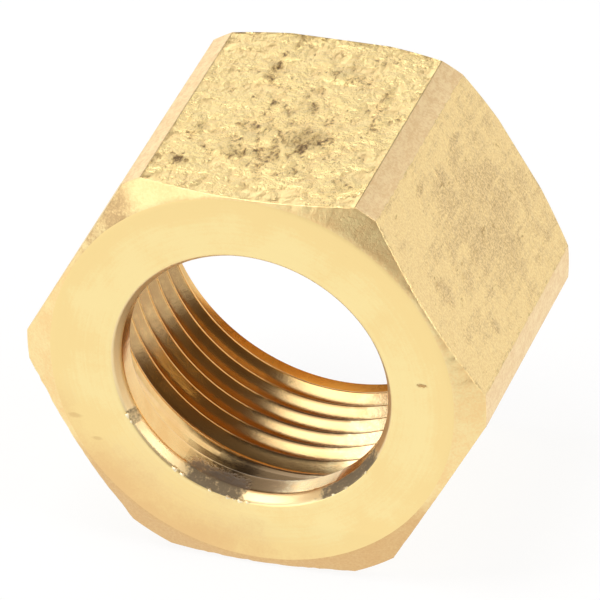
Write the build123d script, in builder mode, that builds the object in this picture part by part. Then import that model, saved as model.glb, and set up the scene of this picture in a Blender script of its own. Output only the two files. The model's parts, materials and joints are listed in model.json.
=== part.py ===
# Compression nut for rigid tube, turned, drilled and tapped from hexagonal brass bar.
# It lies on one of its flats with its axis along Y: the tube end faces -Y, the threaded mouth faces +Y.
# Millimetres, +Z up, origin on the axis, midway between the two end faces.
import os
from math import cos, radians, sqrt, tan

from build123d import *

# Driving sizes: the tube, the sleeve around it, the thread and the bar
tube_diameter = 11.1125  # 7/16 in tube
sleeve_room = 2.38125  # 3/32 in, from the tube's outside to the thread's major diameter, on the radius
thread_pitch = 1.0583  # 24 threads to the inch
flat_wall = 0.79375  # 1/32 in, from the thread's major diameter to a flat, on the radius
nut_length = 12.8

# Outside, turned on the hexagonal bar
corner_cut = 0.38  # taken off each corner, on the radius
tube_face_inset = 0.21  # the tube-end face stops this far inside the flats
tube_cone_angle = 25  # from the face plane
mouth_face_outset = 0.06  # the mouth face runs this far past the middle of the flats
mouth_cone_angle = 33  # from the face plane

# Tube hole
tube_clearance = 0.07  # on the radius
rim_width = 0.28  # chamfer at the tube-end rim, on the radius
rim_depth = 0.45
hole_land = 1.05  # straight wall of the tube hole

# Sleeve seat and threaded mouth
seat_half_angle = 45
countersink_relief = 0.31  # the mouth's countersink opens this far past the thread's major radius
countersink_half_angle = 40

# Thread: major and minor radius of the basic 60 degree profile
thread_radius = tube_diameter / 2 + sleeve_room
thread_height = 5 / 16 * sqrt(3) * thread_pitch
tap_radius = thread_radius - thread_height

# Hexagon
across_flats = 2 * (thread_radius + flat_wall)
corner_radius = across_flats / 2 / cos(radians(30)) - corner_cut

# End faces, and how far each cone runs back along the corners
tube_face_radius = across_flats / 2 - tube_face_inset
tube_cone_depth = (corner_radius - tube_face_radius) * tan(radians(tube_cone_angle))
mouth_face_radius = across_flats / 2 + mouth_face_outset
mouth_cone_depth = (corner_radius - mouth_face_radius) * tan(radians(mouth_cone_angle))

# Bore, as depths from the tube-end face
hole_radius = tube_diameter / 2 + tube_clearance
land_end = rim_depth + hole_land
seat_end = land_end + (tap_radius - hole_radius) / tan(radians(seat_half_angle))
countersink_radius = thread_radius + countersink_relief
countersink_depth = (countersink_radius - tap_radius) / tan(radians(countersink_half_angle))
thread_end = nut_length - countersink_depth

# Half section: depth from the tube-end face along the first axis, radius along the second
half_section = Plane(origin=(0, -nut_length / 2, 0), x_dir=(0, 1, 0), z_dir=(1, 0, 0))

with BuildPart() as compression_nut:
    # Hexagonal bar with a flat at the top and at the bottom, longer than the nut
    with BuildSketch(Plane.XZ):
        RegularPolygon(across_flats / 2, 6, major_radius=False)
    extrude(amount=nut_length, both=True)

    # Turned outside: end faces, a cone behind each one and the cylinder that takes the corners off.
    # The cones leave the curved edges at the ends of the flats.
    with BuildSketch(half_section):
        with BuildLine():
            Polyline(
                (0, 0),
                (0, tube_face_radius),
                (tube_cone_depth, corner_radius),
                (nut_length - mouth_cone_depth, corner_radius),
                (nut_length, mouth_face_radius),
                (nut_length, 0),
                close=True,
            )
        make_face()
    revolve(axis=Axis.Y, mode=Mode.INTERSECT)

    # Bore: chamfered rim, tube hole, conical sleeve seat, tapping bore and countersunk mouth
    with BuildSketch(half_section):
        with BuildLine():
            Polyline(
                (0, 0),
                (0, hole_radius + rim_width),
                (rim_depth, hole_radius),
                (land_end, hole_radius),
                (seat_end, tap_radius),
                (thread_end, tap_radius),
                (nut_length, countersink_radius),
                (nut_length, 0),
                close=True,
            )
        make_face()
    revolve(axis=Axis.Y, mode=Mode.SUBTRACT)

compression_nut.part.label = "compression_nut"

os.makedirs("parts", exist_ok=True)
export_step(compression_nut.part, "parts/compression_nut.step")
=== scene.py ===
import json

import bmesh
import bpy
import numpy as np
from mathutils import Matrix, Vector


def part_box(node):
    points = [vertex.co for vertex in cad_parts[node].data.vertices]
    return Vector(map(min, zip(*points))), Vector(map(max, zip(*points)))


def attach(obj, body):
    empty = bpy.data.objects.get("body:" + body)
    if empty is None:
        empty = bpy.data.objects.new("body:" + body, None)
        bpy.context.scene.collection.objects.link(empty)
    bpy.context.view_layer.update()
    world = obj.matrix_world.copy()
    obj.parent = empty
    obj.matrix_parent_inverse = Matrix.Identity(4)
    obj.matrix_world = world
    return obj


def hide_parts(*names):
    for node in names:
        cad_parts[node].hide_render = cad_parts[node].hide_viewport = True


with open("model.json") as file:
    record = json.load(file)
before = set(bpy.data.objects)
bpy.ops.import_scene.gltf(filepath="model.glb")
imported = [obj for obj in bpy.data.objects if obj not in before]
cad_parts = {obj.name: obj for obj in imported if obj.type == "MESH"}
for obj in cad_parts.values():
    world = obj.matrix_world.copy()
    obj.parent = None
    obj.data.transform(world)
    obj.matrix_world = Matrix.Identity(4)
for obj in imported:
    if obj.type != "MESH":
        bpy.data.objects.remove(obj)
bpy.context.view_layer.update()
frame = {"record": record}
mm = 0.001


# One small class for shader work: it wraps an output socket, and arithmetic on it adds Math nodes
class Wire:
    def __init__(self, tree, socket=None):
        self.tree = tree
        self.socket = socket

    # any node: its type, its settings first, then the values or links of its sockets
    def make(self, kind, settings=None, sockets=None, out=0):
        node = self.tree.nodes.new(kind)
        for name, value in (settings or {}).items():
            setattr(node, name, value)
        for key, value in (sockets or {}).items():
            if isinstance(value, Wire):
                self.tree.links.new(value.socket, node.inputs[key])
            else:
                node.inputs[key].default_value = value
        return Wire(self.tree, node.outputs[out] if node.outputs else None)

    def math(self, operation, first, second):
        return self.make("ShaderNodeMath", {"operation": operation}, {0: first, 1: second})

    def __add__(self, other):
        return self.math("ADD", self, other)

    def __sub__(self, other):
        return self.math("SUBTRACT", self, other)

    def __rsub__(self, other):
        return self.math("SUBTRACT", other, self)

    def __mul__(self, other):
        return self.math("MULTIPLY", self, other)

    __radd__ = __add__
    __rmul__ = __mul__

    # how far from a value, either way
    def away(self, middle):
        return self.math("ABSOLUTE", self - middle, 0)

    # 0 below low, 1 above high, smooth between
    def rise(self, low, high):
        return self.make(
            "ShaderNodeMapRange",
            {"interpolation_type": "SMOOTHSTEP"},
            {"Value": self, "From Min": low, "From Max": high},
        )

    # mixes two colours by this value
    def colours(self, none, full):
        return self.make(
            "ShaderNodeMix",
            {"data_type": "RGBA"},
            {"Factor": self, 6: none, 7: full},
            out=2,
        )

    # vector arithmetic; lengths, distances and products come out as a number
    def vector(self, operation, other=None):
        isNumber = operation in ("LENGTH", "DISTANCE", "DOT_PRODUCT")
        sockets = {0: self} if other is None else {0: self, 1: other}
        out = "Value" if isNumber else "Vector"
        return self.make("ShaderNodeVectorMath", {"operation": operation}, sockets, out)


# Sizes of the nut, in millimetres: the main ones come from the frame, the finer ones are set here
lowCorner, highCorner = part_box("compression_nut")
mounts = {m["name"]: m for m in frame["record"]["mounts"]}


# start and end of a bore mount, as depths from the tube-end face
def boreSpan(name):
    middle = (mounts[name]["pos_m"][1] - lowCorner.y) / mm
    half = mounts[name]["dims"]["length_mm"] / 2
    return middle - half, middle + half


nutShape = {
    "turnedShiftX": -0.016,  # the turned axis lies this far from the hexagon's middle
    "turnedShiftZ": 0.132,
    "faceInset": 0.21,  # the tube-end face stops this far inside the flats
    "tubeConeAngle": 25,  # cones are measured from the face plane, in degrees
    "mouthFaceOutset": 0.06,
    "mouthConeAngle": 33,
    "mouthEdgeBreak": 0.06,  # least width of the broken edge at the mouth
    "rimWidth": 0.28,
    "countersinkRadius": 8.2475,
    "countersinkAngle": 40,  # from the axis
    "edgeRound": 0.05,  # turned edges
    "faceRound": 0.22,  # between the tube-end face and its cone
    "rimFaceRound": 0.1,  # rim chamfer, at the face
    "rimRound": 0.09,  # and in the hole
    "roundRows": (3, 5),  # rows of a rounding, and of one above this size
    "wideRound": 0.1,
    "roundShare": 0.45,  # a rounding takes at most this share of a run
    "flatRound": 0.03,  # hexagon edges
    "flatColumns": (100, 36, 36, 36, 36, 72),  # top flat first, then anticlockwise seen from the tube end
    "bandColumns": 5,
    "rowCrowding": 0.4,  # how far rows draw together at the ends of a run
    "edgeChip": (0.06, 0.06, 0.06, 0.06, 0.06, 0.07),  # raggedness of the flats' edges at the tube end
    "chipWaves": 38,  # to the radian
    "chipStart": 9,
    "chipPower": 3,  # a higher power leaves fewer chips
    "chipFade": 3,  # a higher number lets chips come closer to the corners
    "mergeGap": 0.004,  # points closer than this become one
}

# Drawn skin of the flats, the top flat first
barSkin = {
    "depth": (0.12, 0.07, 0.08, 0.06, 0.08, 0.022),  # how deep it is crumpled, flat by flat
    "grit": (1.0, 0.5, 0.6, 0.4, 0.7, 0.15),  # coarse skin 1, fine skin 0
    "seed": 7,
    "apart": 20,  # from one flat's noise to the next
    "start": (40, 10),
    "bend": (1.1, 0.9),  # waves to the millimetre, across the flat and along the bar
    "large": (1.4, 0.9),
    "small": (2.9, 1.8),
    "fine": (5.3, 3.6),
    "bendReach": 0.9,
    "shares": (0.35, 0.35, 0.3),  # of the large, small and fine waves
    "patchDepth": (0.5, 0.9),  # share of the depth outside the patches, and what a patch adds
    "borderFade": 0.1,
}

# Soiled and pitted patches of the skin: flat, across it, depth from the tube end, half sizes, strength
skinPatches = [
    (0, 0.1, 5.6, 2.1, 3.4, 0.42),
    (0, 0.2, 4.0, 2.4, 1.7, 0.62),
    (0, -0.98, 4.9, 1.3, 1.1, 1.0),
    (0, 1.29, 3.5, 1.2, 0.6, 0.85),
    (0, 1.99, 9.7, 0.45, 1.3, 0.75),
    (0, -1.0, 10.1, 1.1, 0.5, 0.6),
    (0, -3.1, 9.0, 0.25, 1.4, 0.6),
    (0, 3.45, 2.3, 0.5, 0.5, 0.95),
    (0, -3.6, 2.0, 0.5, 0.5, 0.8),
    (0, -3.3, 6.6, 0.4, 0.9, 0.6),
    (0, 3.6, 4.8, 0.35, 0.7, 0.7),
    (0, 1.62, 12.1, 0.16, 0.4, 1.2),
    (0, -0.5, 2.4, 1.3, 0.5, 0.5),
    (0, -0.03, 7.2, 1.5, 0.9, 0.45),
    (0, -3.0, 1.4, 0.6, 0.5, 0.5),
    (5, -0.19, 2.1, 0.7, 0.5, 0.6),
    (5, 2.7, 8.1, 0.2, 0.9, 0.5),
    (5, 0.0, 7.8, 3.3, 4.3, 0.36),
    (5, 3.1, 8.8, 0.14, 0.6, 1.0),
    (5, 2.8, 6.4, 0.5, 0.16, 0.8),
    (5, 3.3, 4.6, 0.16, 0.5, 0.8),
    (5, -2.0, 9.1, 0.16, 0.16, 1.2),
    (5, -3.2, 4.0, 0.4, 0.3, 0.6),
    (1, 1.2, 4.0, 1.1, 0.9, 0.7),
    (1, -2.0, 9.0, 0.7, 1.2, 0.6),
    (2, 0.6, 8.0, 1.2, 0.8, 0.8),
    (2, -2.4, 3.2, 0.5, 0.9, 0.7),
    (3, 1.0, 6.0, 1.4, 1.0, 0.6),
    (4, -1.2, 3.6, 0.9, 1.0, 0.8),
    (4, 2.0, 9.4, 0.7, 0.8, 0.6),
]

nutThread = {
    "pitch": 1.0583,  # 24 to the inch, right hand
    "majorRadius": 7.9375,
    "crestDepth": 8.396,  # depth of one crest at the top of the bore
    "crestHalf": 0.034,  # half width of the crest, before it is rounded
    "crestRows": (0, 0.35, 0.7, 1),  # rows over half the crest, as shares of it
    "rootEdge": 0.012,  # rows stand this share of a pitch to each side of the root's edges
    "firstCut": 4.35,  # the tap's taper starts to cut here
    "fullCut": 5.75,  # and cuts in full from here
    "runIn": 3.98,  # rows follow the helix between these two depths
    "runOut": 12.5,
    "spareTurns": (1, 3),  # turns beyond both, which are cut off there
    "mouthEase": 0.06,
    "wallTone": 0.3,  # tone of straight walls and crests; the root's is 1
    "toneEnd": 11.9,  # the roots grow paler towards this depth
    "toneFade": 1.0,  # over this length
    "toneLeast": 0.1,
}

# Runs of the section from corner to corner: how many rows, and which finish
finishOrder = ("skin", "turned", "bore", "cone")
sectionRuns = {
    "tubeFace": (9, "turned"),
    "tubeCone": (6, "cone"),
    "flats": (110, "skin"),
    "mouthCone": (4, "cone"),
    "mouthFace": (3, "turned"),
    "countersink": (3, "bore"),
    "thread": (0, "bore"),  # its rows follow the helix
    "tapBore": (3, "bore"),
    "seat": (6, "bore"),
    "tubeHole": (5, "bore"),
    "rim": (4, "bore"),
}

nutLength = (highCorner.y - lowCorner.y) / mm
flatDistance = (highCorner.z - lowCorner.z) / 2 / mm
cornerRadius = (highCorner.x - lowCorner.x) / 2 / mm
holeRadius = mounts["tube_hole"]["dims"]["r_mm"]
tapRadius = mounts["thread"]["dims"]["r_mm"]
landStart, landEnd = boreSpan("tube_hole")
seatEnd = boreSpan("thread")[0]
faceRadius = flatDistance - nutShape["faceInset"]
mouthRadius = flatDistance + nutShape["mouthFaceOutset"]
rimRadius = holeRadius + nutShape["rimWidth"]
tubeTan = np.tan(np.radians(nutShape["tubeConeAngle"]))
mouthTan = np.tan(np.radians(nutShape["mouthConeAngle"]))
sinkTan = np.tan(np.radians(nutShape["countersinkAngle"]))
flankSlope = np.sqrt(3)  # radius to depth on a 30 degree flank
fullTurn = 2 * np.pi
print("nut: %.2f across flats, %.2f long" % (2 * flatDistance, nutLength))


# Distance of each flat from the turned axis: the apothem less the shift along the flat's normal.
# Angle 0 points up (+Z) and angles grow towards -X.
sixth = np.radians(60)
flatAngles = sixth * np.arange(6)
flatReach = (
    flatDistance
    - nutShape["turnedShiftZ"] * np.cos(flatAngles)
    + nutShape["turnedShiftX"] * np.sin(flatAngles)
)
flatHalf = np.arccos(flatReach / cornerRadius)  # half the angle that each flat takes up


# Angle brought between minus and plus half a turn
def wrapped(angle):
    return (angle + np.pi) % fullTurn - np.pi


# Smooth step from 0 to 1: three times the square less twice the cube
def smoothStep(t):
    return t * t * (3 - 2 * t)


# Columns: for each flat an even run of angles with one close pair at each border, then the corner band
def columnAngles():
    close = nutShape["flatRound"] / cornerRadius
    parts = []
    for k in range(6):
        start = flatAngles[k] - flatHalf[k]
        end = flatAngles[k] + flatHalf[k]
        bandEnd = flatAngles[k] + sixth - flatHalf[(k + 1) % 6]
        flatRun = np.linspace(start + close, end - close, nutShape["flatColumns"][k])
        bandRun = np.linspace(end + close, bandEnd - close, nutShape["bandColumns"])
        parts += [[start], flatRun, [end], bandRun]
    return np.concatenate(parts)


# Hexagon with its corners turned off: the least of each flat's reach / cos(angle from its normal)
# and the corner cylinder; also gives the flat that each angle belongs to
def hexRadius(angle):
    leastCos = 0.1  # flats that face away reach past the corners
    turn = wrapped(angle[..., None] - flatAngles)
    reach = flatReach / np.maximum(np.cos(turn), leastCos)
    return np.minimum(reach.min(-1), cornerRadius), np.abs(turn).argmin(-1)


# Value noise: random heights on a square lattice, blended with a smooth step between lattice points
def latticeNoise(u, v, seed):
    size = 256
    heights = np.random.default_rng(seed).random((size, size))
    iu, iv = np.floor(u).astype(int), np.floor(v).astype(int)
    fu, fv = smoothStep(u - iu), smoothStep(v - iv)
    low = heights[iu % size, iv % size] * (1 - fu) + heights[(iu + 1) % size, iv % size] * fu
    high = heights[iu % size, (iv + 1) % size] * (1 - fu) + heights[(iu + 1) % size, (iv + 1) % size] * fu
    return low * (1 - fv) + high * fv


# Drawn skin: folded noise (the distance from the middle height) in two sizes gives sharp creases, plain
# noise a finer roughness; all drawn out along the bar. 0 is proud, -1 deep.
def skinHeight(across, along):
    def waves(name, shift, seedStep):
        perAcross, perAlong = barSkin[name]
        return latticeNoise(across * perAcross + shift, along * perAlong - shift, barSkin["seed"] + seedStep)

    bend = barSkin["bendReach"] * waves("bend", 0, 5)
    large = np.abs(2 * waves("large", bend, 0) - 1)
    small = np.abs(2 * waves("small", -bend, 1) - 1)
    fine = waves("fine", 0, 2)
    largeShare, smallShare, fineShare = barSkin["shares"]
    return largeShare * large + smallShare * small + fineShare * fine - 1


# Patches: the strongest of the listed ones at each place, each falling off as a bell curve
def patchStrength(flatIndex, across, depth):
    strength = np.zeros_like(depth)
    for flat, middle, along, halfAcross, halfAlong, peak in skinPatches:
        away = ((across - middle) / halfAcross) ** 2 + ((depth - along) / halfAlong) ** 2
        strength = np.maximum(strength, np.where(flatIndex == flat, peak * np.exp(-away), 0))
    return strength


# Internal thread along the helix: from a round crest, the circle that touches the crest line and both
# flanks, up 30 degree flanks to a flat root. It fades in where the tap's taper cuts; at the mouth the
# larger of ridge and countersink counts, with the edge between them eased.
def threadRadius(depth, angle):
    pitch, crestHalf = nutThread["pitch"], nutThread["crestHalf"]
    height = nutThread["majorRadius"] - tapRadius
    place = (depth - nutThread["crestDepth"]) / pitch + angle / fullTurn
    away = np.abs((place + 0.5) % 1 - 0.5) * pitch
    flank = (away - crestHalf) * flankSlope
    crestRound = crestHalf * flankSlope
    crest = crestRound - np.sqrt(np.maximum(crestRound ** 2 - away ** 2, 0))
    full = np.clip(np.where(away < crestRound * flankSlope / 2, crest, flank), 0, height)
    cut = np.clip((depth - nutThread["firstCut"]) / (nutThread["fullCut"] - nutThread["firstCut"]), 0, 1)
    sink = nutShape["countersinkRadius"] - (nutLength - depth) * sinkTan
    ridge = tapRadius + np.minimum(full, cut * height)
    return (ridge + sink + np.hypot(ridge - sink, nutThread["mouthEase"])) / 2


# Row places within one pitch: over the round crest, and close together at the root's edges
def pitchSteps():
    pitch, crestHalf, edge = (nutThread[k] for k in ("pitch", "crestHalf", "rootEdge"))
    crest = 1.5 * crestHalf / pitch * np.array(nutThread["crestRows"])
    rootStart = (crestHalf + (nutThread["majorRadius"] - tapRadius) / flankSlope) / pitch
    half = np.concatenate([crest, [rootStart - edge, rootStart + edge]])
    return np.sort(np.concatenate([half, 1 - half[1:]]))


# Depths of the helix rows: each row's share of a pitch, less one pitch in each turn, kept within the run
def helixDepths(angle):
    pitch, runIn, runOut = (nutThread[k] for k in ("pitch", "runIn", "runOut"))
    spareBefore, spareAfter = nutThread["spareTurns"]
    turns = int(np.ceil((runOut - runIn) / pitch)) + spareAfter
    share = (np.arange(-spareBefore, turns)[:, None] + pitchSteps()).ravel()
    base = nutThread["crestDepth"] - pitch * np.ceil((nutThread["crestDepth"] - runIn) / pitch)
    depth = base + pitch * (share[::-1, None] - angle / fullTurn)
    return np.clip(depth, runIn, runOut)


# Section corners of the nut in every column, as (depth, radius), with a rounding for each. The flats'
# edges at the tube end are set back by a power of noise along the edge, fading out at the corners.
def sectionCorners(angle, outer, flatIndex):
    ones = np.ones_like(outer)
    chip = latticeNoise(angle * nutShape["chipWaves"] + nutShape["chipStart"], ones, barSkin["seed"])
    chip = chip ** nutShape["chipPower"] * np.array(nutShape["edgeChip"])[flatIndex]
    inside = (cornerRadius - outer) / (cornerRadius - flatReach[flatIndex])
    chip = chip * np.clip(nutShape["chipFade"] * inside, 0, 1)
    mouthEdge = np.minimum(mouthRadius, outer - nutShape["mouthEdgeBreak"])
    runIn, runOut = nutThread["runIn"], nutThread["runOut"]
    edge = nutShape["edgeRound"]
    sinkRadius = threadRadius(np.array(runOut), np.array(0.0))
    return [
        (0 * ones, rimRadius * ones, nutShape["rimFaceRound"]),
        (0 * ones, faceRadius * ones, nutShape["faceRound"]),
        ((outer - faceRadius) * tubeTan + chip, outer, edge),
        (nutLength - (outer - mouthEdge) * mouthTan, outer, edge),
        (nutLength * ones, mouthEdge, edge),
        (nutLength * ones, nutShape["countersinkRadius"] * ones, edge),
        (runOut * ones, sinkRadius * ones, 0),
        (runIn * ones, tapRadius * ones, 0),
        (seatEnd * ones, tapRadius * ones, edge),
        (landEnd * ones, holeRadius * ones, edge),
        (landStart * ones, holeRadius * ones, nutShape["rimRound"]),
    ]


# Rows of the section in every column: at each corner a quadratic curve between the two points set back
# from it, (1 - t)^2 before + 2 t (1 - t) corner + t^2 after, then the straight run to the next corner, its
# rows drawn together at both ends by a smooth step. The thread's run is left to the helix.
def buildNut():
    angle = columnAngles()
    outer, flatIndex = hexRadius(angle)
    corners = sectionCorners(angle, outer, flatIndex)
    count = len(corners)
    points = np.array([corner[:2] for corner in corners])  # corner, depth or radius, column
    rounds = [corner[2] for corner in corners]
    fewRows, wideRows = nutShape["roundRows"]
    crowding = nutShape["rowCrowding"]
    rows, runOfRow, isHelix = [], [], []

    # the point set back from corner i towards corner j
    def setBack(i, j):
        gap = points[j] - points[i]
        length = np.maximum(np.linalg.norm(gap, axis=0), 1e-9)
        return points[i] + gap * np.minimum(rounds[i] / length, nutShape["roundShare"])

    def addRows(newRows, runs, helix=False):
        rows.extend(newRows)
        runOfRow.extend(runs)
        isHelix.extend([helix] * len(runs))

    for i, (runName, run) in enumerate(sectionRuns.items()):
        before, after = setBack(i, i - 1), setBack(i, (i + 1) % count)
        arc = points[i][None]
        if rounds[i]:
            t = np.linspace(0, 1, wideRows if rounds[i] > nutShape["wideRound"] else fewRows)[:, None, None]
            arc = (1 - t) ** 2 * before + 2 * t * (1 - t) * points[i] + t ** 2 * after
        half = len(arc) // 2
        addRows(arc, [(i - 1) % count] * half + [i] * (len(arc) - half))
        if runName == "thread":
            depth = helixDepths(angle)
            addRows(np.stack([depth, threadRadius(depth, angle)], 1), [i] * len(depth), True)
            continue
        end = setBack((i + 1) % count, i)
        steps = np.linspace(0, 1, run[0] + 2)[1:-1, None, None]
        steps = (1 - crowding) * steps + crowding * smoothStep(steps)
        addRows(after + (end - after) * steps, [i] * len(steps))
    return angle, flatIndex, outer, np.array(rows), np.array(runOfRow), np.array(isHelix)


# Drawn skin on the flats: the skin's height times its depth there, deeper in the patches, fading out at
# the flat's border. Gives the change of radius, and the values that the skin's material is painted with.
def crumpleFlats(angle, flatIndex, outer, depth, onRun):
    turn = wrapped(angle - flatAngles[flatIndex])
    across = flatReach[flatIndex] * np.tan(turn)
    borderGap = flatReach[flatIndex] * np.tan(flatHalf[flatIndex]) - np.abs(across)
    onFlats = onRun[:, None] & (borderGap > -1e-6)
    tubeEdge = (outer - faceRadius) * tubeTan
    gap = np.minimum(borderGap, np.minimum(depth - tubeEdge, nutLength - depth))
    startAcross, startAlong = barSkin["start"]
    height = skinHeight(across + barSkin["apart"] * flatIndex + startAcross, depth + startAlong)
    patch = patchStrength(flatIndex, across, depth)
    plain, added = barSkin["patchDepth"]
    skinDepth = np.array(barSkin["depth"])[flatIndex] * (plain + added * np.sqrt(patch))
    fade = np.clip(gap / barSkin["borderFade"], 0, 1)
    change = np.where(onFlats, height * skinDepth * fade, 0) / np.cos(turn)
    painted = {
        "flatGap": gap,
        "skinHeight": height * onFlats,
        "patch": patch * onFlats,
        "grit": np.array(barSkin["grit"])[flatIndex],
    }
    return change, painted


# Bore tone: 0 on the rim, the wall's tone on straight walls and crests, growing evenly with the radius to 1
# in the thread's root, less so towards the mouth
def boreTone(depth, radius, onRim):
    tone = np.clip((radius - tapRadius) / (nutThread["majorRadius"] - tapRadius), 0, 1)
    tone = tone * np.clip((nutThread["toneEnd"] - depth) / nutThread["toneFade"], nutThread["toneLeast"], 1)
    wall = nutThread["wallTone"]
    return np.where(onRim[:, None], 0, wall + (1 - wall) * tone)


# Quads between neighbouring rows and columns; helix rows join one pitch on where the ring closes
def ringQuads(rowCount, columnCount, isHelix):
    ids = np.arange(rowCount * columnCount).reshape(rowCount, columnCount)
    right = np.roll(ids, -1, 1)
    helixRows = np.flatnonzero(isHelix)
    joined = np.arange(rowCount)
    joined[helixRows] = np.minimum(helixRows + len(pitchSteps()), helixRows[-1])
    right[:, -1] = ids[joined, 0]
    below = np.roll(ids, -1, 0)
    belowRight = np.roll(right, -1, 0)
    return np.stack([ids, right, belowRight, below], -1).reshape(-1, 4)


# Points that lie on one another become one, faces turn outwards and are shaded smooth; counts open edges
def closeMesh(mesh, mergeGap):
    work = bmesh.new()
    work.from_mesh(mesh)
    bmesh.ops.remove_doubles(work, verts=work.verts, dist=mergeGap * mm)
    bmesh.ops.dissolve_degenerate(work, edges=work.edges, dist=mergeGap * mm / 2)
    bmesh.ops.recalc_face_normals(work, faces=work.faces)
    loose = [v for v in work.verts if not v.link_faces]
    bmesh.ops.delete(work, geom=loose, context="VERTS")
    openEdges = sum(not e.is_manifold for e in work.edges)
    work.to_mesh(mesh)
    work.free()
    mesh.polygons.foreach_set("use_smooth", np.ones(len(mesh.polygons), bool))
    return openEdges


# Vertex normals: the sum of the area vectors of the faces around, so flanks and faces stay true
# right up to the small faces of their rounded edges
def leanNormals(mesh):
    mesh.calc_loop_triangles()
    corners = np.empty(3 * len(mesh.loop_triangles), np.int32)
    mesh.loop_triangles.foreach_get("vertices", corners)
    corners = corners.reshape(-1, 3)
    places = np.empty(3 * len(mesh.vertices), np.float32)
    mesh.vertices.foreach_get("co", places)
    a, b, c = places.astype(float).reshape(-1, 3)[corners].transpose(1, 0, 2) / mm
    area = np.cross(b - a, c - a)
    normals = np.zeros((len(mesh.vertices), 3))
    np.add.at(normals, corners.ravel(), np.repeat(area, 3, 0))
    normals /= np.maximum(np.linalg.norm(normals, axis=1, keepdims=True), 1e-12)
    mesh.normals_split_custom_set_from_vertices(normals.tolist())


# Nut: the section's rows turned round the axis, x = shift - radius sin(angle), z = shift + radius cos(angle),
# with depth running from the tube-end face towards +Y
def meshNut():
    angle, flatIndex, outer, rows, runOfRow, isHelix = buildNut()
    depth, radius = rows[:, 0], rows[:, 1]
    runNames = list(sectionRuns)
    onRun = runOfRow == runNames.index("flats")
    change, painted = crumpleFlats(angle, flatIndex, outer, depth, onRun)
    radius = radius + change
    onRim = np.isin(runOfRow, [runNames.index("rim"), runNames.index("tubeFace")])
    painted["boreTone"] = boreTone(depth, radius, onRim)
    x = nutShape["turnedShiftX"] - radius * np.sin(angle)
    y = lowCorner.y / mm + depth
    z = nutShape["turnedShiftZ"] + radius * np.cos(angle)
    places = np.stack([x, y, z], -1).reshape(-1, 3) * mm
    quads = ringQuads(len(rows), len(angle), isHelix)
    slotOfRun = np.array([finishOrder.index(run[1]) for run in sectionRuns.values()])
    slots = np.repeat(slotOfRun[runOfRow], len(angle))

    mesh = bpy.data.meshes.new("compression_nut_brass")
    mesh.vertices.add(len(places))
    mesh.vertices.foreach_set("co", places.ravel())
    mesh.loops.add(quads.size)
    mesh.loops.foreach_set("vertex_index", quads.ravel().astype(np.int32))
    mesh.polygons.add(len(quads))
    mesh.polygons.foreach_set("loop_start", np.arange(0, quads.size, 4, dtype=np.int32))
    mesh.polygons.foreach_set("material_index", slots.astype(np.int32))
    for name, values in painted.items():
        layer = mesh.attributes.new(name, "FLOAT", "POINT")
        layer.data.foreach_set("value", np.broadcast_to(values, depth.shape).astype(np.float32).ravel())
    mesh.update(calc_edges=True)
    openEdges = closeMesh(mesh, nutShape["mergeGap"])
    leanNormals(mesh)
    print("nut mesh: %d triangles, %d open edges" % (len(mesh.loop_triangles), openEdges))
    return mesh


# Brass finishes. Colours are linear: what bare brass sends back from white surroundings.
brassFinish = {
    "skin": (1.0, 0.78, 0.36, 1),
    "skinDull": (0.93, 0.68, 0.31, 1),
    "fineGold": (1.0, 0.78, 0.38, 1),
    "fineWarm": (0.88, 0.64, 0.3, 1),
    "fineDull": (0.95, 0.72, 0.36, 1),
    "fineOlive": (0.63, 0.44, 0.2, 1),
    # The next two: brown soil and a darker brown, used both for real soil and for painted shade and painted
    # dent shadows in the skin's hollows and creases
    "soil": (0.4, 0.26, 0.1, 1),
    "pit": (0.16, 0.09, 0.04, 1),
    "band": (1.0, 0.8, 0.48, 1),
    "bandTan": (0.9, 0.66, 0.36, 1),
    "cone": (1.0, 0.81, 0.41, 1),
    "coneTan": (0.97, 0.69, 0.32, 1),
    # The next two: dirt and painted shade at the cones' top corners, and painted shade towards their bottom
    "coneDull": (0.58, 0.39, 0.19, 1),
    "coneLow": (0.74, 0.47, 0.21, 1),
    "turned": (0.99, 0.8, 0.38, 1),
    "turnedWarm": (0.97, 0.74, 0.33, 1),
    "turnedLow": (0.84, 0.54, 0.24, 1),
    "rim": (0.97, 0.77, 0.43, 1),
    "wall": (0.95, 0.65, 0.28, 1),
    "wallWarm": (0.9, 0.56, 0.22, 1),
    "flank": (0.82, 0.57, 0.27, 1),
    "root": (0.7, 0.46, 0.21, 1),
    # The next three are painted light in the bore: a dark reflection on the lower wall, shade on the thread's
    # upper left and a highlight on its lower right
    "tarnish": (0.15, 0.095, 0.045, 1),
    "threadBrown": (0.4, 0.23, 0.1, 1),
    "threadGold": (1.0, 0.86, 0.52, 1),
    "stain": (0.5, 0.27, 0.1, 1),
    "grime": (0.2, 0.16, 0.12, 1),
    "burr": (1.0, 0.88, 0.6, 1),
}

# Noise of each finish: features to the millimetre, octaves, their share and how far they are bent
brassGrain = {
    "skinBlotch": (0.8, 5, 0.6, 0),
    "skinBroad": (1.2, 5, 0.55, 0.6),
    "skinCrumple": (2.4, 5, 0.6, 0.5),
    "skinCrease": (1.9, 4, 0.6, 0.9),
    "skinFine": (6.5, 4, 0.65, 0.3),
    "skinGrain": (9, 4, 0.7, 0),
    "skinBorder": (2.6, 4, 0.6, 0),
    "skinSparkle": (11, 3, 0.75, 0),
    "skinStreak": (3.2, 4, 0.6, 0),
    "coneGrain": (9, 4, 0.65, 0),
    "coneBlotch": (0.9, 5, 0.6, 0),
    "turnedBlotch": (0.5, 4, 0.6, 0),
    "turnedGrain": (11, 3, 0.6, 0),
    "boreBlotch": (0.9, 4, 0.6, 0),
    "boreGrain": (6, 4, 0.65, 0),
    "boreRagged": (1.6, 5, 0.7, 0),
    "burrGrain": (12, 3, 0.6, 0),
}

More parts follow.
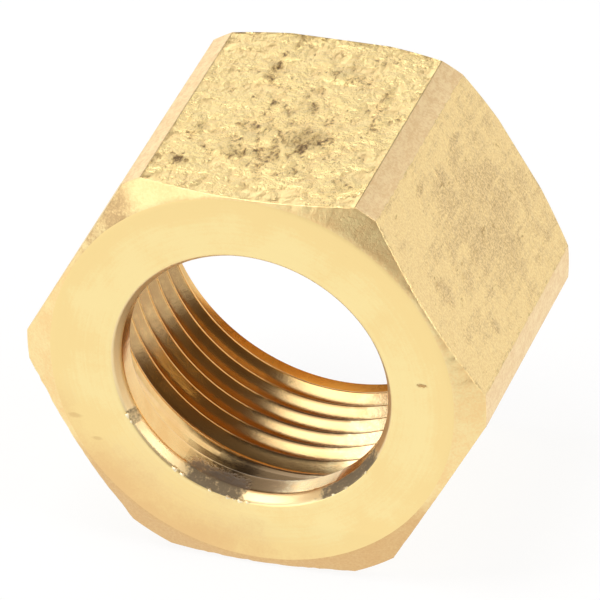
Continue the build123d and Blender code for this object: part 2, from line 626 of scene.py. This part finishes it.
# Skin of the flats: spans from where a mark starts to where it is full, shares of its colour (plain, and
# what coarse skin adds), relief in millimetres, roughness
skinLook = {
    "drawnOut": (1, 0.6, 1),  # the skin's grain is longer along the bar
    "streakOut": (1, 0.13, 1),  # and its streaks are much longer
    "borderSpan": (-0.015, 0.025),
    "borderRagged": (0.36, -0.24),
    # the next four: painted shade and painted dent shadows in the skin's hollows and creases, with real soil
    # added in the patches
    "soiledSpan": (0.52, 1.12),
    "soiledShare": (0.3, 0.4),
    "pittedSpan": (1.02, 1.32),
    "pittedShare": (0.4, 0.45),
    "shadedSpan": (0.3, 1.2),
    "shadedShare": 0.42,
    "fleckPlace": 0.05,  # flecks lie this far inside the border of fine skin
    "fleckSpan": (0.03, 0.16),
    "fleckShare": 0.5,
    "linePlace": 0.01,  # the dark line this far inside that of coarse skin
    "lineSpan": (0.01, 0.045),
    "lineShare": 0.6,
    "relief": 0.07,
    "rough": (0.46, -0.12),
    "bandRough": 0.56,
}

# Marks on the turned end: places as (x, y, z) and a size
turnedMarks = {
    "lowSide": (-0.5, 0, -0.866),  # the face is warmer on this side, between these distances from the axis
    "lowSpan": (5.2, 8.6),
    "outerSpan": (7.0, 8.6),  # and towards its outer edge
    "ringScale": 7,  # rings to the millimetre
    "stretch": (0.6, 1, 1.5),  # marks are this much narrower upwards than across
    "nick": ((7.2, -6.4, 1.15), 0.15),
    "stainLeft": ((-7.62, -6.4, -2.76), 0.22),
    "stainLow": ((-6.73, -6.4, -3.73), 0.17),
    "rough": 0.36,
    "relief": 0.01,
}

# Dirt and painted shade on the cones: the corners beside the top flat, as place, size and strength
coneDirtAndShade = {
    "right": ((4.8, -6.1, 8.1), 1.7, 0.2),
    "left": ((-6.2, -6.2, 6.65), 2.6, 0.9),
    "lowTop": (-5.8, -3.4),  # painted shade: the cones grow darker towards the bottom, between these heights
    "rough": 0.46,
    "relief": 0.02,
}

# Grime and painted light in the bore: middle of each arc, from straight up towards -X, and half its width, in
# degrees
boreGrimeAndPaintedLight = {
    "lowLeft": (161, 13),
    "lowRight": (226, 18),
    "left": (117, 3.5),
    # painted dark reflection on the lower wall and its crests
    "wall": (178, 20),
    # painted shade on the thread's flanks and roots at the upper left
    "thread": (68, 52),
    "clean": (226, 32),  # painted highlight: the thread is paler here
    "rimSpan": (-6.0, -5.8),  # grime on the rim ends between these y
    "landSpan": (-5.6, -4.8),  # the heavier grime on the wall
    "wallSpan": (3.0, 4.6),  # and the wall's painted dark reflection
    "rough": (0.42, 0.14),  # of the rim, and of the wall and thread
    "relief": 0.02,
}


def newMaterial(name):
    material = bpy.data.materials.new(name)
    material.use_nodes = True
    material.node_tree.nodes.clear()
    return material, Wire(material.node_tree)


# bare metal: colour, roughness, and a bump of the given depth in millimetres
def finishMaterial(g, colour, rough, height, depth):
    bump = g.make("ShaderNodeBump", {}, {"Height": height, "Strength": 1.0, "Distance": depth * mm})
    sockets = {"Metallic": 1.0, "Base Color": colour, "Roughness": rough, "Normal": bump}
    shader = g.make("ShaderNodeBsdfPrincipled", {}, sockets)
    g.make("ShaderNodeOutputMaterial", {}, {"Surface": shader})


# place on the object, in millimetres
def placeInMm(g):
    place = g.make("ShaderNodeTexCoord", out="Object")
    return g.make("ShaderNodeVectorMath", {"operation": "SCALE"}, {0: place, "Scale": 1 / mm})


def attribute(g, name):
    return g.make("ShaderNodeAttribute", {"attribute_name": name}, out="Fac")


# noise between 0 and 1
def noise(g, place, name):
    scale, detail, share, bend = brassGrain[name]
    sockets = {"Vector": place, "Scale": scale, "Detail": detail, "Roughness": share, "Distortion": bend}
    return g.make("ShaderNodeTexNoise", {}, sockets, out="Fac")


# 1 at a marked place, falling to 0 with a ragged edge
def mark(place, name, ragged):
    middle, size = turnedMarks[name]
    away = place.vector("SUBTRACT", middle).vector("MULTIPLY", turnedMarks["stretch"]).vector("LENGTH")
    return 1 - (away + (ragged - 0.5) * size).rise(0.5 * size, size)


# place across the turned axis, its y left out
def fromAxis(place):
    middle = (nutShape["turnedShiftX"], 0, nutShape["turnedShiftZ"])
    return place.vector("SUBTRACT", middle).vector("MULTIPLY", (1, 0, 1))


# Flats: crumpled drawn skin, coarse or fine by flat, soiled in patches, with painted shade in the low places
# of the relief and painted dent shadows; smooth turned bands at the corners
def skinBrass():
    material, g = newMaterial("skin_brass")
    place = placeInMm(g)
    drawn = place.vector("MULTIPLY", skinLook["drawnOut"])
    streaked = place.vector("MULTIPLY", skinLook["streakOut"])
    height, gap, patch, grit = (attribute(g, n) for n in ("skinHeight", "flatGap", "patch", "grit"))
    blotch, grain, ragged, sparkle = (
        noise(g, place, n) for n in ("skinBlotch", "skinGrain", "skinBorder", "skinSparkle")
    )
    broad, crumple, folded, fine = (
        noise(g, drawn, n) for n in ("skinBroad", "skinCrumple", "skinCrease", "skinFine")
    )
    crease = (folded * 2).away(1)  # 0 in sharp creases, 1 far from them
    streak = noise(g, streaked, "skinStreak")

    # a pair of numbers: the first for all skin, the second for coarse skin on top
    def byGrit(name):
        plain, coarse = skinLook[name]
        return plain + coarse * grit

    onFlat = (gap + (ragged - 0.5) * byGrit("borderRagged")).rise(*skinLook["borderSpan"])
    # Painted dent shadows: strongest in the low places of the bump's noise, in the deep places of the
    # crumpled skin and in the creases; the patches' soil is added to them
    recessShade = (0.5 - crumple) * 3.6 + (0.5 - fine) * 3.0 - 0.3 * height - 0.25 * crease
    soil = patch - 0.3 * (1 - grit)
    shadeAndSoil = (recessShade + 0.85 * soil).rise(*skinLook["soiledSpan"])
    deepShadeAndSoil = (recessShade + 0.75 * soil).rise(*skinLook["pittedSpan"])
    # painted shade in the low places of the broad relief, and soil in the patches, on coarse skin
    shaded = (1.1 * patch + (0.5 - broad) * 2.2).rise(*skinLook["shadedSpan"]) * grit
    speckled = (fine * 0.5 + crumple * 0.5).rise(0.5, 0.6)
    flecks = (1 - gap.away(skinLook["fleckPlace"]).rise(*skinLook["fleckSpan"])) * (1 - grit) * speckled
    broken = (crumple * grit).rise(0.2, 0.45)
    line = (1 - gap.away(skinLook["linePlace"]).rise(*skinLook["lineSpan"])) * broken

    speck = sparkle.rise(0.36, 0.64)
    gold = speck.colours(brassFinish["fineWarm"], brassFinish["fineGold"])
    olive = speck.colours(brassFinish["fineOlive"], brassFinish["fineDull"])
    dull = patch * 2.4 + (blotch - 0.5) * 2.8 + (streak - 0.5) * 2.2 + (crumple - 0.5) * 0.8
    fineSkin = dull.rise(0, 0.95).colours(gold, olive)
    clean = (blotch * 0.5 + crumple * 0.5).rise(0.36, 0.56)
    coarseSkin = clean.colours(brassFinish["skinDull"], brassFinish["skin"])
    colour = grit.rise(0.1, 0.7).colours(fineSkin, coarseSkin)
    # painted shade and painted dent shadows, in brown and a darker brown; real soil in the patches
    colour = (shaded * skinLook["shadedShare"]).colours(colour, brassFinish["soil"])
    colour = (shadeAndSoil * byGrit("soiledShare")).colours(colour, brassFinish["soil"])
    colour = (deepShadeAndSoil * byGrit("pittedShare")).colours(colour, brassFinish["pit"])
    colour = (flecks * skinLook["fleckShare"]).colours(colour, brassFinish["soil"])
    bandTone = (grain * 0.4 + crumple * 0.3 + fine * 0.3).rise(0.42, 0.58)
    band = bandTone.colours(brassFinish["bandTan"], brassFinish["band"])
    colour = onFlat.colours(band, colour)
    colour = (line * skinLook["lineShare"]).colours(colour, brassFinish["soil"])

    zone = 0.3 + (patch * 1.2 + (blotch - 0.5) * 2.4).rise(-0.2, 0.8)
    relief = (broad * 3.4 + crumple * 2.0 + crease * 0.8 + fine * 0.45) * (0.12 + 0.88 * grit) * zone
    relief = relief * onFlat + 0.1 * grain + (0.3 - 0.24 * grit) * sparkle
    rough = byGrit("rough") + 0.16 * (grain - 0.5) + 0.15 * shadeAndSoil
    rough = skinLook["bandRough"] - (skinLook["bandRough"] - rough) * onFlat
    finishMaterial(g, colour, rough, relief, skinLook["relief"])
    return material


# Cones behind the end faces: dull and granular, with dirt and painted shade at the top corners and painted
# shade towards the bottom
def coneBrass():
    material, g = newMaterial("cone_brass")
    place = placeInMm(g)
    grain = noise(g, place, "coneGrain")
    blotch = noise(g, place, "coneBlotch")
    speckle = (grain * 0.6 + blotch * 0.8).rise(0.5, 0.9)
    colour = speckle.colours(brassFinish["coneTan"], brassFinish["cone"])
    # dirt and painted shade at the corners beside the top flat
    for middle, size, strength in (coneDirtAndShade["right"], coneDirtAndShade["left"]):
        away = place.vector("DISTANCE", middle) + (blotch - 0.5) * size
        darkened = (1 - away.rise(0.3 * size, size)) * strength
        colour = (darkened * (1.2 - speckle)).colours(colour, brassFinish["coneDull"])
    # painted shade: darker towards the bottom
    high = g.make("ShaderNodeSeparateXYZ", {}, {0: place}, out="Z") + (blotch - 0.5) * 3
    low = (1 - high.rise(*coneDirtAndShade["lowTop"])) * (1.25 - grain * 0.8)
    colour = low.colours(colour, brassFinish["coneLow"])
    finishMaterial(g, colour, coneDirtAndShade["rough"], grain, coneDirtAndShade["relief"])
    return material


# End faces: satin, with faint rings from turning, a nick and two stains
def turnedBrass():
    material, g = newMaterial("turned_brass")
    place = placeInMm(g)
    off = fromAxis(place)
    radius = off.vector("LENGTH")
    ringSockets = {"W": radius, "Scale": turnedMarks["ringScale"], "Detail": 4}
    rings = g.make("ShaderNodeTexNoise", {"noise_dimensions": "1D"}, ringSockets, out="Fac")
    blotch = noise(g, place, "turnedBlotch")
    grain = noise(g, place, "turnedGrain")
    nick = mark(place, "nick", grain)
    stain = mark(place, "stainLeft", grain) + mark(place, "stainLow", grain)
    tone = blotch + 0.25 * (rings - 0.5) + 0.3 * (grain - 0.5) - 0.3 * radius.rise(*turnedMarks["outerSpan"])
    colour = tone.rise(0.3, 0.6).colours(brassFinish["turnedWarm"], brassFinish["turned"])
    low = off.vector("DOT_PRODUCT", turnedMarks["lowSide"]) + (blotch - 0.5) * 5 + (grain - 0.5) * 1.5
    low = low.rise(*turnedMarks["lowSpan"])
    colour = (low * 0.85).colours(colour, brassFinish["turnedLow"])
    colour = (nick * 0.85 + stain * 0.26).colours(colour, brassFinish["stain"])
    relief = 0.5 * rings + 0.35 * grain - 3 * nick
    rough = turnedMarks["rough"] + 0.12 * (grain - 0.5)
    finishMaterial(g, colour, rough, relief, turnedMarks["relief"])
    return material


# Bore: polished, coppery, with grime on the rim and the straight wall, a painted dark reflection on the lower
# wall, painted shade on the thread's upper left and a painted highlight on its lower right
def boreBrass():
    material, g = newMaterial("bore_brass")
    place = placeInMm(g)
    off = fromAxis(place).vector("NORMALIZE")
    along = g.make("ShaderNodeSeparateXYZ", {}, {0: place}, out="Y")
    blotch, grain, ragged = (noise(g, place, n) for n in ("boreBlotch", "boreGrain", "boreRagged"))
    ragged = ragged - 0.5

    # an arc with ragged ends: the cosine of the angle from its middle, against that of its half width
    def arc(name):
        middle, half = np.radians(boreGrimeAndPaintedLight[name])
        turn = off.vector("DOT_PRODUCT", (-np.sin(middle), 0, np.cos(middle)))
        spread = 1 - np.cos(half)
        return (turn + ragged * (2 * spread)).rise(1 - 1.7 * spread, 1 - 0.3 * spread)

    onRim = 1 - (along + ragged * 0.4).rise(*boreGrimeAndPaintedLight["rimSpan"])
    onLand = 1 - (along + ragged * 0.8).rise(*boreGrimeAndPaintedLight["landSpan"])
    onWall = 1 - along.rise(*boreGrimeAndPaintedLight["wallSpan"])
    grimy = arc("lowLeft") * onLand + (arc("lowRight") + 0.6 * arc("left")) * onRim
    grimy = (grimy * 0.95 + (grain - 0.5) * 1.8 * grimy).rise(0.2, 0.95)
    tone = attribute(g, "boreTone")
    pastRim = tone.rise(0, 0.25)
    colour = blotch.rise(0.3, 0.7).colours(brassFinish["wallWarm"], brassFinish["wall"])
    # painted dark reflection on the lower wall and the crests there
    colour = (arc("wall") * onWall * 0.96).colours(colour, brassFinish["tarnish"])
    colour = pastRim.colours(brassFinish["rim"], colour)
    colour = tone.rise(0.32, 0.5).colours(colour, brassFinish["flank"])
    colour = tone.rise(0.6, 1).colours(colour, brassFinish["root"])
    # painted shade on the thread's flanks and roots at the upper left
    colour = (arc("thread") * tone.rise(0.31, 0.4) * 0.6).colours(colour, brassFinish["threadBrown"])
    # painted highlight: wall, crests, flanks and roots paler at the lower right
    colour = (arc("clean") * tone.rise(0.26, 0.34)).colours(colour, brassFinish["threadGold"])
    colour = (grimy * 0.85).colours(colour, brassFinish["grime"])
    rimRough, wallRough = boreGrimeAndPaintedLight["rough"]
    rough = rimRough + (wallRough - rimRough) * pastRim + 0.08 * blotch + 0.3 * grimy
    finishMaterial(g, colour, rough, grain * (0.1 + grimy), boreGrimeAndPaintedLight["relief"])
    return material


# Burrs left on the rim's edge: angle from straight up towards -X, in degrees, and size in millimetres
rimBurrs = [
    (115.4, 0.1),
    (118.5, 0.06),
    (144.6, 0.12),
    (148.0, 0.09),
    (160.6, 0.08),
    (168.3, 0.1),
    (171.0, 0.06),
    (173.4, 0.11),
    (176.5, 0.07),
    (214.0, 0.06),
    (221.0, 0.07),
    (233.0, 0.06),
]
burrShape = {
    "columns": 12,
    "rows": 9,
    "around": (0.22, 3, 7),  # waves around: height, count, and their turn from burr to burr
    "polar": (0.15, 2, 5),  # the same from pole to pole
    "stretch": (1.3, 0.8, 0.9),  # along the edge, outwards and into the nut
    "sink": 0.02,
    "mergeGap": 0.001,  # closes the poles
    "relief": 0.02,
}


# Burrs: bright raw metal with a little grain
def burrBrass():
    material, g = newMaterial("burr_brass")
    grain = noise(g, placeInMm(g), "burrGrain")
    finishMaterial(g, brassFinish["burr"], 0.3 + 0.2 * grain, grain, burrShape["relief"])
    return material


# Burrs: little balls stretched along the edge, each swollen by sine waves of its two angles
def meshBurrs():
    place = np.radians([b[0] for b in rimBurrs])[:, None, None]
    size = np.array([b[1] for b in rimBurrs])[:, None, None]
    u = np.linspace(0, fullTurn, burrShape["columns"], endpoint=False)[None, None, :]
    v = np.linspace(0, np.pi, burrShape["rows"])[None, :, None]
    height, count, shift = burrShape["around"]
    swell = 1 + height * np.sin(count * u + shift * place) * np.sin(v)
    height, count, shift = burrShape["polar"]
    swell = size * (swell + height * np.sin(count * v + shift * place))
    stretchAlong, stretchOut, stretchDeep = burrShape["stretch"]
    along = stretchAlong * swell * np.sin(v) * np.cos(u)
    radius = rimRadius + stretchOut * swell * np.sin(v) * np.sin(u)
    depth = stretchDeep * swell * np.cos(v) + burrShape["sink"]
    x = nutShape["turnedShiftX"] - radius * np.sin(place) - along * np.cos(place)
    y = lowCorner.y / mm + depth
    z = nutShape["turnedShiftZ"] + radius * np.cos(place) - along * np.sin(place)
    places = np.stack(np.broadcast_arrays(x, y, z), -1) * mm
    ids = np.arange(places[..., 0].size).reshape(places.shape[:3])
    right = np.roll(ids, -1, 2)
    quads = np.stack([ids[:, :-1], right[:, :-1], right[:, 1:], ids[:, 1:]], -1).reshape(-1, 4)
    mesh = bpy.data.meshes.new("rim_burrs_brass")
    mesh.from_pydata(places.reshape(-1, 3).tolist(), [], quads.tolist())
    closeMesh(mesh, burrShape["mergeGap"])
    print("burrs: %d on the rim" % len(rimBurrs))
    return mesh


def addObject(name, data):
    added = bpy.data.objects.new(name, data)
    bpy.context.scene.collection.objects.link(added)
    return added


nut = addObject("compression_nut_brass", meshNut())
finishes = {"skin": skinBrass(), "turned": turnedBrass(), "bore": boreBrass(), "cone": coneBrass()}
for finishName in finishOrder:
    nut.data.materials.append(finishes[finishName])
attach(nut, "root")
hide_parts("compression_nut")
burrs = addObject("rim_burrs_brass", meshBurrs())
burrs.data.materials.append(burrBrass())
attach(burrs, "root")
print("nut: dressed")


# Floor: pale, seen as white by the camera but still holding the nut's shadow; the sheet ends in front
floorLook = {
    "halfWidth": 0.6,
    "front": -0.1,
    "back": 0.6,
    "points": 9,
    "colour": (1, 1, 1, 1),
    "cameraGlow": 0.88,  # share of plain white that the camera sees
    "mirrorGlow": 0.95,  # and that reflections see
}


# 1 for rays of one kind, such as those from the camera
def rayKind(g, name):
    return g.make("ShaderNodeLightPath", out=name)


def paleFloor():
    material, g = newMaterial("pale_floor")
    mirrored = (rayKind(g, "Is Glossy Ray") + rayKind(g, "Is Transmission Ray")).rise(0, 1)
    seen = rayKind(g, "Is Camera Ray") * floorLook["cameraGlow"] + mirrored * floorLook["mirrorGlow"]
    matt = g.make("ShaderNodeBsdfDiffuse", {}, {"Color": floorLook["colour"]})
    glow = g.make("ShaderNodeEmission", {}, {"Strength": 1.0})
    shade = g.make("ShaderNodeMixShader", {}, {0: seen, 1: matt, 2: glow})
    g.make("ShaderNodeOutputMaterial", {}, {"Surface": shade})
    return material


# Floor sheet: an even grid at the height of the nut's lowest flat
def layFloor():
    across = np.linspace(-floorLook["halfWidth"], floorLook["halfWidth"], floorLook["points"])
    along = np.linspace(floorLook["front"], floorLook["back"], floorLook["points"])
    u, v = np.meshgrid(across, along)
    places = np.stack([u, v, np.full_like(u, lowCorner.z)], -1).reshape(-1, 3)
    ids = np.arange(u.size).reshape(u.shape)
    quads = np.stack([ids[:-1, :-1], ids[:-1, 1:], ids[1:, 1:], ids[1:, :-1]], -1).reshape(-1, 4)
    mesh = bpy.data.meshes.new("floor")
    mesh.from_pydata(places.tolist(), [], quads.tolist())
    mesh.materials.append(paleFloor())
    floor = addObject("floor", mesh)


# Soft lamps: direction towards the lamp, distance, width, height, power
lamps = {
    "overhead": ((-0.3, -0.13, 0.95), 0.25, 0.12, 0.16, 0.38),
    "right": ((0.82, -0.16, 0.55), 0.25, 0.1, 0.1, 0.17),
    "window": ((-0.44, 0.77, 0.47), 0.3, 0.22, 0.13, 0.095),
    "backRight": ((0.56, 0.32, 0.77), 0.3, 0.18, 0.16, 0.1),
    "front": ((-0.44, -0.82, 0.36), 0.35, 0.3, 0.16, 0.24),
}

# Studio round the nut
studio = {
    "seen": (1, 1, 1, 1),  # what the camera sees
    "sweep": (1, 1, 1, 1),  # white paper all round, ending between these sines of the height
    "sweepTop": (0.47, 0.54),
    "ceiling": (0.11, 0.085, 0.06, 1),
    "room": (0.095, 0.057, 0.031, 1),  # the room is dim and warm at the front right, where the camera stands
    "roomTowards": (0.44, -0.898, 0),
    "roomEdge": (0.78, 0.86),
}


def hangLamp(name):
    direction, distance, width, height, power = lamps[name]
    data = bpy.data.lights.new(name, "AREA")
    data.shape = "RECTANGLE"
    data.size = width
    data.size_y = height
    data.energy = power
    lamp = addObject(name, data)
    towards = Vector(direction).normalized()
    lamp.location = towards * distance
    lamp.rotation_mode = "QUATERNION"
    lamp.rotation_quaternion = towards.to_track_quat("Z", "Y")


# Surroundings: white for the camera; as light, a white sweep that dims overhead and where the camera stands
def lightWorld():
    world = bpy.data.worlds.new("studio")
    bpy.context.scene.world = world
    world.use_nodes = True
    world.node_tree.nodes.clear()
    g = Wire(world.node_tree)
    ray = g.make("ShaderNodeTexCoord", out="Generated")
    height = g.make("ShaderNodeSeparateXYZ", {}, {0: ray}, out="Z")
    level = ray.vector("MULTIPLY", (1, 1, 0)).vector("NORMALIZE")
    towards = level.vector("DOT_PRODUCT", studio["roomTowards"])
    colour = towards.rise(*studio["roomEdge"]).colours(studio["sweep"], studio["room"])
    colour = height.rise(*studio["sweepTop"]).colours(colour, studio["ceiling"])
    colour = rayKind(g, "Is Camera Ray").colours(colour, studio["seen"])
    shade = g.make("ShaderNodeBackground", {}, {"Color": colour, "Strength": 1.0})
    g.make("ShaderNodeOutputWorld", {}, {"Surface": shade})


# Camera: the photograph's view of the tube end, from the front right and above
cameraView = {
    "azimuth": 19.196,
    "elevation": 32.478,
    "roll": -2.268,
    "lens": 494.45,
    "sensor": 36,
    "clip": (0.01, 10),
    "right": 1.977,  # from the middle of the tube-end face, in millimetres along the camera's own axes
    "up": 3.274,
    "distance": 330.03,
}


def setCamera():
    turn, lift, roll = (np.radians(cameraView[k]) for k in ("azimuth", "elevation", "roll"))
    back = Vector((np.sin(turn) * np.cos(lift), -np.cos(turn) * np.cos(lift), np.sin(lift)))
    level = Vector((np.cos(turn), np.sin(turn), 0))
    right = level * np.cos(roll) + back.cross(level) * np.sin(roll)
    up = back.cross(right)
    aim = Vector((nutShape["turnedShiftX"] * mm, lowCorner.y, nutShape["turnedShiftZ"] * mm))
    away = right * cameraView["right"] + up * cameraView["up"] + back * cameraView["distance"]
    data = bpy.data.cameras.new("camera")
    data.lens = cameraView["lens"]
    data.sensor_width = cameraView["sensor"]
    data.clip_start, data.clip_end = cameraView["clip"]
    camera = addObject("camera", data)
    facing = Matrix((right, up, back)).transposed().to_4x4()
    camera.matrix_world = Matrix.Translation(aim + away * mm) @ facing
    bpy.context.scene.camera = camera


layFloor()
for lampName in lamps:
    hangLamp(lampName)
lightWorld()
setCamera()
bpy.context.scene.view_settings.view_transform = "Standard"
print("studio: set")
